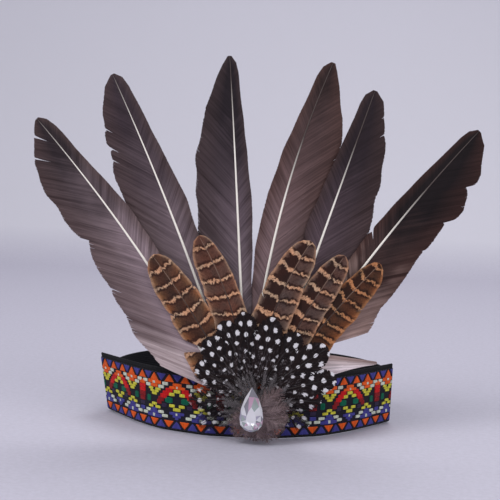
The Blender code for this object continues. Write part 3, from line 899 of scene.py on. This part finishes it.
plumeSheet = {
    "Lean": 0.0, "Curl": 0.0, "Wrap": 0.0, "Camber": 0.0, "Shingle": 0.0, "Roll spread": 75.0,
    "Turn spread": 20.0,
    "Short barbs": 0.5, "Barb width": 0.25, "Barb thickness": 0.26,
}


def joined(items, name):
    work = bmesh.new()
    materials = []
    for item in items:
        for material in item.data.materials:
            if material and material not in materials:
                materials.append(material)
    mesh = bpy.data.meshes.new(name)
    for material in materials:
        mesh.materials.append(material)
    for item in items:
        data = item.data
        for polygon in data.polygons:
            polygon.material_index = materials.index(data.materials[polygon.material_index])
        work.from_mesh(data)
        bpy.data.objects.remove(item)
    work.to_mesh(mesh)
    work.free()
    return linked(name, mesh)


plumes = []
rng = random.Random(downTuft["seed"])
for ringIndex, ring in enumerate(downTuft["rings"]):
    count, ringReach, ringForward, first, sweep, ringWidth, tones = ring
    tone = downFinish("down" + str(ringIndex), *tones)
    for k in range(count):
        heading = first + sweep * k / (count - 1) + rng.uniform(-6, 6)
        reach = ringReach * rng.uniform(0.86, 1.05)
        if ringReach < downTuft["upperRing"]:
            # the rings that hang low stop above the band's foot
            fall = max(-math.cos(math.radians(heading)), downTuft["steepest"])
            reach = min(reach, (downTuft["middle"][1] - downTuft["floorGap"]) / fall)
        width = downTuft["plumeWidth"] * ringWidth * rng.uniform(0.8, 1.15)
        forward = ringForward + rng.uniform(-0.7, 0.7)
        plumes.append(feather(
            "plume" + str(len(plumes)),
            shaftLine(*downTuft["middle"], reach, heading, rng.uniform(-25, 25)),
            {"length": reach, "left": width / 2, "right": width / 2},
            plumeKind,
            [plumeOutline] * 2,
            (tone, tone),
            {"Forward place": forward, "Seed": 400 + len(plumes) * 7, **plumeSheet},
        ))
dress(joined(plumes, "down_tuft_dressed"), "down_tuft")
print("down tuft grown")


# Crystal: crown, girdle and foiled back

# pavilion rows: size as a share of the outline, and depth behind the girdle
crystalSetup = {
    "radius": 7.6, "low": 10.0, "high": 39.0, "back": -25.2, "depth": 2.0, "crown": 2.3, "girdle": 0.5,
    "sides": 12,
    "shoulder": 0.55, "pointCurve": 1.15, "sideCurve": 2.1, "star": 0.86, "starHeight": 0.55, "table": 0.42,
    "pavilion": ((0.62, 1.15), (0.3, 1.75)), "reflectionTintOrder": (0, 2, 1, 0, 3, 0, 1, 4, 0, 2), "reflectionTintStep": 7,
}
# the front facets' tints are painted reflections: the clear stone's facets are coloured white, lilac,
# grey-green, rose and dark grey as if they reflected their surroundings
paintedReflectionTints = {
    "clearFacet": (0.93, 0.92, 0.97), "lilacFacet": (0.50, 0.47, 0.60), "mistFacet": (0.42, 0.50, 0.48),
    "roseFacet": (0.66, 0.42, 0.56), "smokeFacet": (0.30, 0.29, 0.34),
}
foilTint = (0.93, 0.92, 0.96)


def dropOutline(setup, reach):
    # right side from the point down: a curve to the shoulder, then a round foot
    half, shoulder = setup["sides"] // 2, setup["shoulder"]
    sideRing = []
    for step in range(1, half):
        share = step / half
        if share < shoulder:
            height = reach * (1.0 - share / shoulder) ** setup["pointCurve"]
            sideRing.append((setup["radius"] * (1.0 - (height / reach) ** setup["sideCurve"]), height))
        else:
            bend = math.pi / 2 * (share - shoulder) / (1.0 - shoulder)
            sideRing.append((setup["radius"] * math.cos(bend), -setup["radius"] * math.sin(bend)))
    return [(0.0, reach), *sideRing, (0.0, -setup["radius"]), *[(-x, z) for x, z in reversed(sideRing)]]


def crystalMesh(setup):
    middleZ = setup["low"] + setup["radius"]
    ring = dropOutline(setup, setup["high"] - middleZ)
    middleRing = [((a[0] + b[0]) / 2, (a[1] + b[1]) / 2) for a, b in zip(ring, ring[1:] + ring[:1])]
    girdle = setup["back"] - setup["depth"]
    front = girdle - setup["girdle"]
    layers = [
        (ring, 1.0, girdle),
        (ring, 1.0, front),
        (middleRing, setup["star"], front - setup["crown"] * setup["starHeight"]),
        (ring, setup["table"], front - setup["crown"]),
        (middleRing, setup["pavilion"][0][0], girdle + setup["pavilion"][0][1]),
        (ring, setup["pavilion"][1][0], girdle + setup["pavilion"][1][1]),
        ([(0.0, 0.0)], 1.0, setup["back"]),
    ]
    work = bmesh.new()
    for points, share, depth in layers:
        for x, z in points:
            work.verts.new(inScene((x * share, depth, middleZ + z * share)))
    bmesh.ops.convex_hull(work, input=work.verts)
    bmesh.ops.delete(work, geom=[vert for vert in work.verts if not vert.link_faces], context="VERTS")
    bmesh.ops.dissolve_limit(work, angle_limit=0.02, verts=work.verts, edges=work.edges)
    bmesh.ops.recalc_face_normals(work, faces=work.faces)
    mesh = bpy.data.meshes.new("crystal_dressed")
    work.faces.index_update()
    # each front facet gets one of the painted reflection tints in a fixed order, and the back facets get the
    # foil
    order = setup["reflectionTintOrder"]
    for face in work.faces:
        behind = face.calc_center_median().y > (girdle + objectPlace[1]) * mm
        front = order[face.index * setup["reflectionTintStep"] % len(order)]
        face.material_index = len(paintedReflectionTints) if behind else front
    work.to_mesh(mesh)
    work.free()
    return mesh


crystalData = crystalMesh(crystalSetup)
# each painted reflection tint becomes a part-clear glass finish
for name, tint in paintedReflectionTints.items():
    glass = {"Roughness": 0.02, "IOR": 1.75, "Transmission Weight": 0.45, "Base Color": (*tint, 1.0)}
    reflectionFinish = Finish(name, glass)
    crystalData.materials.append(reflectionFinish.material)
foil = Finish("silverFoil", {"Roughness": 0.12, "Metallic": 1.0, "Base Color": (*foilTint, 1.0)})
crystalData.materials.append(foil.material)
crystal = linked("crystal_dressed", crystalData)
dress(crystal, "crystal")
print("crystal cut")


# Band: backing, woven ribbon, elastic

# bends: distance from the middle, and degrees turned back there
bandSetup = {
    "bends": (
        (0.0, 0.0), (14.0, 1.0), (26.0, 22.0), (50.0, 26.0), (62.0, 43.0), (78.0, 47.0), (92.0, 54.0),
        (131.0, 56.0),
    ),
    "middle": -10.0, "backing": 1.6, "ribbon": 1.0, "clearance": 0.3, "halfLength": 131.0, "height": 42.0,
    "leftFlare": 7.0, "rightFlare": 1.5, "steps": 60, "rows": 12,
}
ribbonSetup = {"halfLength": 130.0, "low": 1.2, "high": 39.2, "behind": 0.5, "before": 0.3}
strapSetup = {
    "laps": (12.0, 6.0, 1.0), "thickness": 1.6, "loopBack": 171.0, "bulge": 3.0, "steps": 40, "low": 5.0,
    "high": 35.0, "half": 0.7, "rows": 61, "rib": 1.5, "ripple": 0.1,
}
bandColours = {"felt": (0.012, 0.012, 0.014), "weave": (0.012, 0.011, 0.018), "elastic": (0.014, 0.014, 0.017)}


def bandPlace(along, outward):
    steps = np.linspace(0.0, abs(along), bandSetup["steps"])
    heading = np.radians(np.interp(steps, *zip(*bandSetup["bends"])))
    stride = abs(along) / (bandSetup["steps"] - 1)
    between = (heading[1:] + heading[:-1]) / 2
    end = heading[-1]
    x = float(np.cos(between).sum() * stride) + math.sin(end) * outward
    y = float(np.sin(between).sum() * stride) - math.cos(end) * outward
    x = bandSetup["middle"] + math.copysign(x, along)
    return x, y + bandSetup["backing"] / 2, math.copysign(end, along)


def bandFlare(along):
    share = min(abs(along) / bandSetup["halfLength"], 1.0) ** 2
    return share * (bandSetup["leftFlare"] if along < 0 else bandSetup["rightFlare"])


def bandPoint(along, height, outward):
    x, y, _ = bandPlace(along, outward + bandFlare(along) * height / bandSetup["height"])
    return x, y, height


def strip(name, stations, section, pointAt, material):
    # a closed strip: the section is a loop of (height, outward), carried along the stations
    clothMap = [(along, height, outward) for along in stations for height, outward in section]
    verts = [inScene(pointAt(*place)) for place in clothMap]
    mesh = closedMesh(name, verts, tubeFaces(len(stations), len(section)), cutEnds=True)
    pointValues(mesh, "clothMap", clothMap)
    mesh.materials.append(material)
    mesh.shade_smooth()
    return linked(name, mesh)


def roundedSection(low, high, inner, outer, rows, ripple=lambda height: 0.0):
    corner = min((outer - inner) / 2, 0.5) * 0.9
    heights = np.linspace(low + corner, high - corner, rows)
    front = [(height, outer + ripple(height)) for height in heights]
    back = [(height, inner - ripple(height)) for height in heights[::-1]]
    middle = (inner + outer) / 2
    return [(low, middle), *front, (high, middle), *back]


def sineOf(value, period):
    return (value * (2 * math.pi / period)).sine()


def feltFinish(name, colour):
    finish = Finish(name, {"Roughness": 0.95, "Sheen Weight": 0.04, "Specular IOR Level": 0.1})
    where = finish.objectPlace()
    fibre = finish.noise(where, 900.0, 6.0, 0.75)
    patch = finish.noise(where, 90.0, 3.0, 0.6)
    grain = (fibre * 0.7 + patch * 0.3).rise(0.3, 0.75)
    finish.wear("Base Color", finish.mix(grain, scaled(colour, 0.5), scaled(colour, 2.0)))
    finish.bump(fibre, 0.6, 0.0004)
    return finish.material


def elasticFinish(name, colour):
    finish = Finish(name, {"Roughness": 0.75, "Sheen Weight": 0.04, "Specular IOR Level": 0.12})
    along, height, _ = finish.apart(finish.read("clothMap"))
    rib = sineOf(height, strapSetup["rib"])
    thread = (along * (2 * math.pi / 0.9) + rib * 0.8).sine()
    weave = (rib * 0.5 + thread * 0.5 + 1.0) / 2.0
    finish.wear("Base Color", finish.mix(weave.kept(), scaled(colour, 0.45), scaled(colour, 1.8)))
    finish.bump(weave, 0.5, 0.0003)
    return finish.material


def clothFinish(name, colour):
    finish = Finish(name, {"Roughness": 0.85, "Sheen Weight": 0.04, "Specular IOR Level": 0.12})
    along, height, _ = finish.apart(finish.read("clothMap"))
    weave = (sineOf(along, 0.8) * sineOf(height, 0.7) + 1.0) / 2.0
    finish.wear("Base Color", finish.mix(weave.kept(), scaled(colour, 0.5), scaled(colour, 1.7)))
    finish.bump(weave, 0.4, 0.0003)
    return finish.material


def everyTwo(half):
    # stations 2 mm apart
    return list(np.linspace(-half, half, int(half) + 1))


half = bandSetup["backing"] / 2
backing = strip(
    "backing_band_dressed",
    everyTwo(bandSetup["halfLength"]),
    roundedSection(0.0, bandSetup["height"], -half, half, bandSetup["rows"]),
    bandPoint,
    feltFinish("blackFelt", bandColours["felt"]),
)
dress(backing, "backing_band")

ribbonOut = (bandSetup["backing"] + bandSetup["ribbon"]) / 2 + bandSetup["clearance"]
ribbonBack, ribbonFront = ribbonOut - ribbonSetup["behind"], ribbonOut + ribbonSetup["before"]
ribbon = strip(
    "woven_ribbon_dressed",
    everyTwo(ribbonSetup["halfLength"]),
    roundedSection(ribbonSetup["low"], ribbonSetup["high"], ribbonBack, ribbonFront, bandSetup["rows"]),
    bandPoint,
    clothFinish("darkWeave", bandColours["weave"]),
)
dress(ribbon, "woven_ribbon")


def strapPath():
    # from inside one end of the band, round the back, to inside the other end
    inside = -(bandSetup["backing"] + strapSetup["thickness"]) / 2 - bandSetup["clearance"]
    path = [bandPlace(bandSetup["halfLength"] - gap, inside)[:2] for gap in strapSetup["laps"]]
    startX, startY = path[-1]
    middle = bandSetup["middle"]
    for step in range(1, strapSetup["steps"] + 1):
        bend = math.pi / 2 * step / strapSetup["steps"]
        path.append((
            middle + (startX - middle) * math.cos(bend) + strapSetup["bulge"] * math.sin(2 * bend),
            startY + (strapSetup["loopBack"] - startY) * math.sin(bend),
        ))
    return [*path, *[(2 * middle - x, y) for x, y in reversed(path[:-1])]]


strapPoints = np.array(strapPath())
strapTangent = np.gradient(strapPoints, axis=0)
strapLength = np.linalg.norm(strapTangent, axis=1)[:, None]
strapNormal = np.stack([strapTangent[:, 1], -strapTangent[:, 0]], axis=1) / strapLength
strapRun = np.concatenate([[0.0], np.cumsum(np.linalg.norm(np.diff(strapPoints, axis=0), axis=1))])


def strapPoint(along, height, outward):
    x = np.interp(along, strapRun, strapPoints[:, 0] + strapNormal[:, 0] * outward)
    y = np.interp(along, strapRun, strapPoints[:, 1] + strapNormal[:, 1] * outward)
    return float(x), float(y), height


def strapRipple(height):
    return strapSetup["ripple"] * math.sin(height * 2 * math.pi / strapSetup["rib"])


half = strapSetup["half"]
strap = strip(
    "elastic_strap_dressed",
    list(strapRun),
    roundedSection(strapSetup["low"], strapSetup["high"], -half, half, strapSetup["rows"], strapRipple),
    strapPoint,
    elasticFinish("blackElastic", bandColours["elastic"]),
)
dress(strap, "elastic_strap")
print("band made")


# Woven pattern: satin stitches, one for each upright thread of every block and border triangle

dyes = {
    "orange": (0.80, 0.115, 0.012), "violet": (0.062, 0.058, 0.30), "white": (0.66, 0.70, 0.60),
    "yellow": (0.66, 0.62, 0.06), "red": (0.62, 0.008, 0.010), "darkRed": (0.26, 0.008, 0.012),
    "green": (0.0, 0.13, 0.07), "plum": (0.035, 0.022, 0.06),
}
weaveSetup = {
    "repeat": 12.4, "period": 5, "groups": 5, "thread": 0.62, "height": 38.0, "middleRepeat": 10,
    "edge": 129.0, "seed": 12,
    "triangle": 0.56, "out": 0.28, "raised": 0.16, "depth": 0.5, "corner": 0.018,
}
# border triangles by their offset in repeats: dye, then rows of top and bottom, as shares of the ribbon's
# height from its top, and how far each moves from the triangle's middle to its corner
borders = {
    0.0: ("orange", ((0.025, 0.155, 0.125, 0.0), (0.845, 0.965, 0.0, -0.11))),
    0.5: ("violet", ((0.02, 0.145, 0.0, -0.12), (0.85, 0.975, 0.115, 0.0))),
}

# block: dye, top and bottom in the same shares, offset and width in repeats; an offset one is on both sides
flower = (
    ("orange", 0.155, 0.225, 0.0, 0.96), ("orange", 0.225, 0.285, 0.0, 0.5), ("white", 0.17, 0.22, 0.0, 0.17),
    ("white", 0.165, 0.225, 0.75, 0.36), ("white", 0.23, 0.29, 0.49, 0.36),
    ("yellow", 0.29, 0.335, 0.27, 0.34),
    ("yellow", 0.335, 0.375, 0.17, 0.28), ("yellow", 0.375, 0.425, 0.0, 0.36),
    ("yellow", 0.56, 0.61, 0.0, 0.36),
    ("yellow", 0.61, 0.66, 0.27, 0.34), ("violet", 0.655, 0.705, 0.0, 0.42),
    ("violet", 0.705, 0.76, 0.0, 0.68),
    ("violet", 0.76, 0.825, 0.0, 1.1), ("white", 0.755, 0.815, 0.0, 0.16), ("white", 0.685, 0.74, 0.49, 0.36),
    ("white", 0.745, 0.80, 0.75, 0.36),
)
pillar = (
    ("orange", 0.19, 0.27, 0.0, 0.46), ("red", 0.27, 0.34, 0.0, 0.5), ("red", 0.34, 0.41, 0.0, 0.48),
    ("darkRed", 0.41, 0.49, 0.0, 0.48), ("darkRed", 0.49, 0.57, 0.0, 0.42), ("plum", 0.58, 0.65, 0.0, 0.34),
    ("violet", 0.67, 0.74, 0.0, 0.36), ("green", 0.44, 0.56, 0.56, 0.27),
)
arch = (
    ("orange", 0.17, 0.225, 0.0, 0.55), ("orange", 0.225, 0.28, 0.0, 0.98), ("white", 0.225, 0.265, 0.0, 0.1),
    ("red", 0.265, 0.345, 0.50, 0.42), ("red", 0.32, 0.405, 0.68, 0.42), ("red", 0.375, 0.46, 0.85, 0.40),
    ("darkRed", 0.43, 0.52, 1.0, 0.36), ("darkRed", 0.49, 0.575, 1.13, 0.30),
    ("yellow", 0.285, 0.345, 0.0, 0.4),
    ("yellow", 0.345, 0.405, 0.33, 0.34), ("green", 0.43, 0.535, 0.5, 0.46),
    ("yellow", 0.55, 0.605, 0.31, 0.34),
    ("yellow", 0.61, 0.67, 0.0, 0.46), ("plum", 0.55, 0.62, 0.8, 0.3), ("violet", 0.685, 0.74, 0.0, 0.92),
    ("violet", 0.74, 0.785, 0.0, 0.5), ("violet", 0.785, 0.82, 0.0, 0.2), ("white", 0.70, 0.745, 0.0, 0.1),
)
motifs = ((0.0, flower), (1.5, arch), (3.0, flower), (4.0, pillar))


def threads():
    # rows of (along, height, outward, long, high, colour)
    rng = random.Random(weaveSetup["seed"])
    repeat, thread, tall = weaveSetup["repeat"], weaveSetup["thread"], weaveSetup["height"]
    found = []

    def lay(along, top, bottom, dye, raised=0.0):
        if abs(along) > weaveSetup["edge"] or bottom <= top:
            return
        tint = rng.uniform(0.86, 1.1)
        middle = ribbonSetup["high"] - (top + bottom) / 2 * tall
        outward = ribbonOut + weaveSetup["out"] + raised
        found.append((along, middle, outward, thread * 1.02, (bottom - top) * tall, scaled(dyes[dye], tint)))

    def across(centre, width):
        count = max(2, round(width / thread))
        return [centre - width / 2 + (k + 0.5) * width / count for k in range(count)]

    first, base = weaveSetup["middleRepeat"], weaveSetup["triangle"] * repeat
    for index in range(-1, 2 * first + 2):
        for offset, (dye, rows) in borders.items():
            centre = (index - first + offset) * repeat
            for along in across(centre, base):
                slope = (abs(along - centre) / (base / 2)) ** 1.2
                for top, bottom, topMove, bottomMove in rows:
                    lay(along, top + topMove * slope, bottom + bottomMove * slope, dye)
    for group in range(-1, weaveSetup["groups"]):
        for place, blocks in motifs:
            centre = (group * weaveSetup["period"] + place - first) * repeat
            for dye, top, bottom, offset, width in blocks:
                raised = weaveSetup["raised"] if dye == "white" and width < 0.2 else 0.0
                corner = weaveSetup["corner"] * (1.0 if dye == "green" else 0.3)
                for side in ((-1, 1) if offset else (1,)):
                    blockCentre = centre + side * offset * repeat
                    for along in across(blockCentre, width * repeat):
                        soften = corner * abs(2 * (along - blockCentre) / (width * repeat)) ** 3
                        lay(along, top + soften, bottom - soften, dye, raised)
    return found


def stitchObject():
    # one satin stitch: a low rounded pillow, one unit long, high and deep
    rings = ((0.5, 0.0), (0.46, 0.7), (0.3, 1.0))
    corners = ((-1, -1), (1, -1), (1, 1), (-1, 1))
    verts = [(x * size, -depth, z * size) for size, depth in rings for x, z in corners]
    return linked("stitch", closedMesh("stitch", verts, tubeFaces(len(rings), len(corners))))


def stitchTree():
    numbers = {"Depth": 0.5, "Unevenness": 0.1, "Seed": 3}
    bench = Growth("stitchRows", {"Stitch": "Object", "Finish": "Material"}, numbers)
    inputs, named = bench.inputs, bench.named
    factor = bench.chance(-1.0, 1.0) * inputs["Unevenness"] + 1.0
    scale = bench.threeOf(named("long") * factor, inputs["Depth"] * factor, named("high"))
    turned = bench.threeOf(named("flareTurn"), 0.0, named("heading"))
    put = bench.copies(inputs["Geometry"], "Stitch", turned, scale)
    return bench.ended(bench.placed(put, "Finish"))


def stitched(name, rows, depth, unevenness, seed):
    alongs, _, _, longs, highs, colours = zip(*rows)
    points = pointMesh(name + "Points", [bandPoint(*row[:3]) for row in rows], {
        "long": longs, "high": highs, "dye": colours,
        "heading": [bandPlace(along, 0.0)[2] for along in alongs],
        "flareTurn": [math.atan2(bandFlare(along), bandSetup["height"]) for along in alongs],
    })
    settings = {"Depth": depth, "Unevenness": unevenness, "Seed": seed}
    return grow(name, points, rowsOfStitches, {"Stitch": stitchShape, "Finish": threadMaterial, **settings})


def threadFinish(name):
    finish = Finish(name, {"Roughness": 0.6, "Sheen Weight": 0.05, "Specular IOR Level": 0.2})
    where = finish.objectPlace()
    strand = finish.noise(where, 1500.0, 2.0, 0.6)
    tone = finish.noise(where, 700.0, 3.0, 0.7)
    grain = (strand * 0.35 + tone * 0.6).kept()
    dyed = finish.grained(grain, finish.read("dye"), (0.6, 0.6, 0.62), (1.25, 1.25, 1.22))
    finish.wear("Base Color", dyed)
    finish.bump(strand, 0.5, 0.0002)
    return finish.material


stitchShape = stitchObject()
helpers.append(stitchShape)
rowsOfStitches = stitchTree()
threadMaterial = threadFinish("dyedThread")
cells = threads()
pattern = stitched("ribbonPattern", cells, weaveSetup["depth"], 0.08, 3)
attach(pattern, "root")
print("pattern woven:", len(cells), "stitches")

seam = {
    "long": 2.2, "gap": 1.1, "high": 0.45, "colour": (0.02, 0.02, 0.024), "depth": 0.3, "out": 0.3,
    "reach": 128.0, "heights": (1.75, 38.75), "end": 129.3, "endCount": 11, "endLow": 3.0, "endStride": 3.4,
}
seamOut, stride = ribbonOut + seam["out"], seam["long"] + seam["gap"]
seamRows = []
for k in range(int(2 * seam["reach"] / stride)):
    for height in seam["heights"]:
        along = -seam["reach"] + (k + 0.5) * stride
        seamRows.append((along, height, seamOut, seam["long"], seam["high"], seam["colour"]))
for k in range(seam["endCount"]):
    for along in (-seam["end"], seam["end"]):
        height = seam["endLow"] + k * seam["endStride"]
        seamRows.append((along, height, seamOut, seam["high"], seam["long"], seam["colour"]))
seams = stitched("ribbonSeams", seamRows, seam["depth"], 0.1, 8)
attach(seams, "root")

for helper in helpers:
    bpy.data.objects.remove(helper)
print("band stitched")
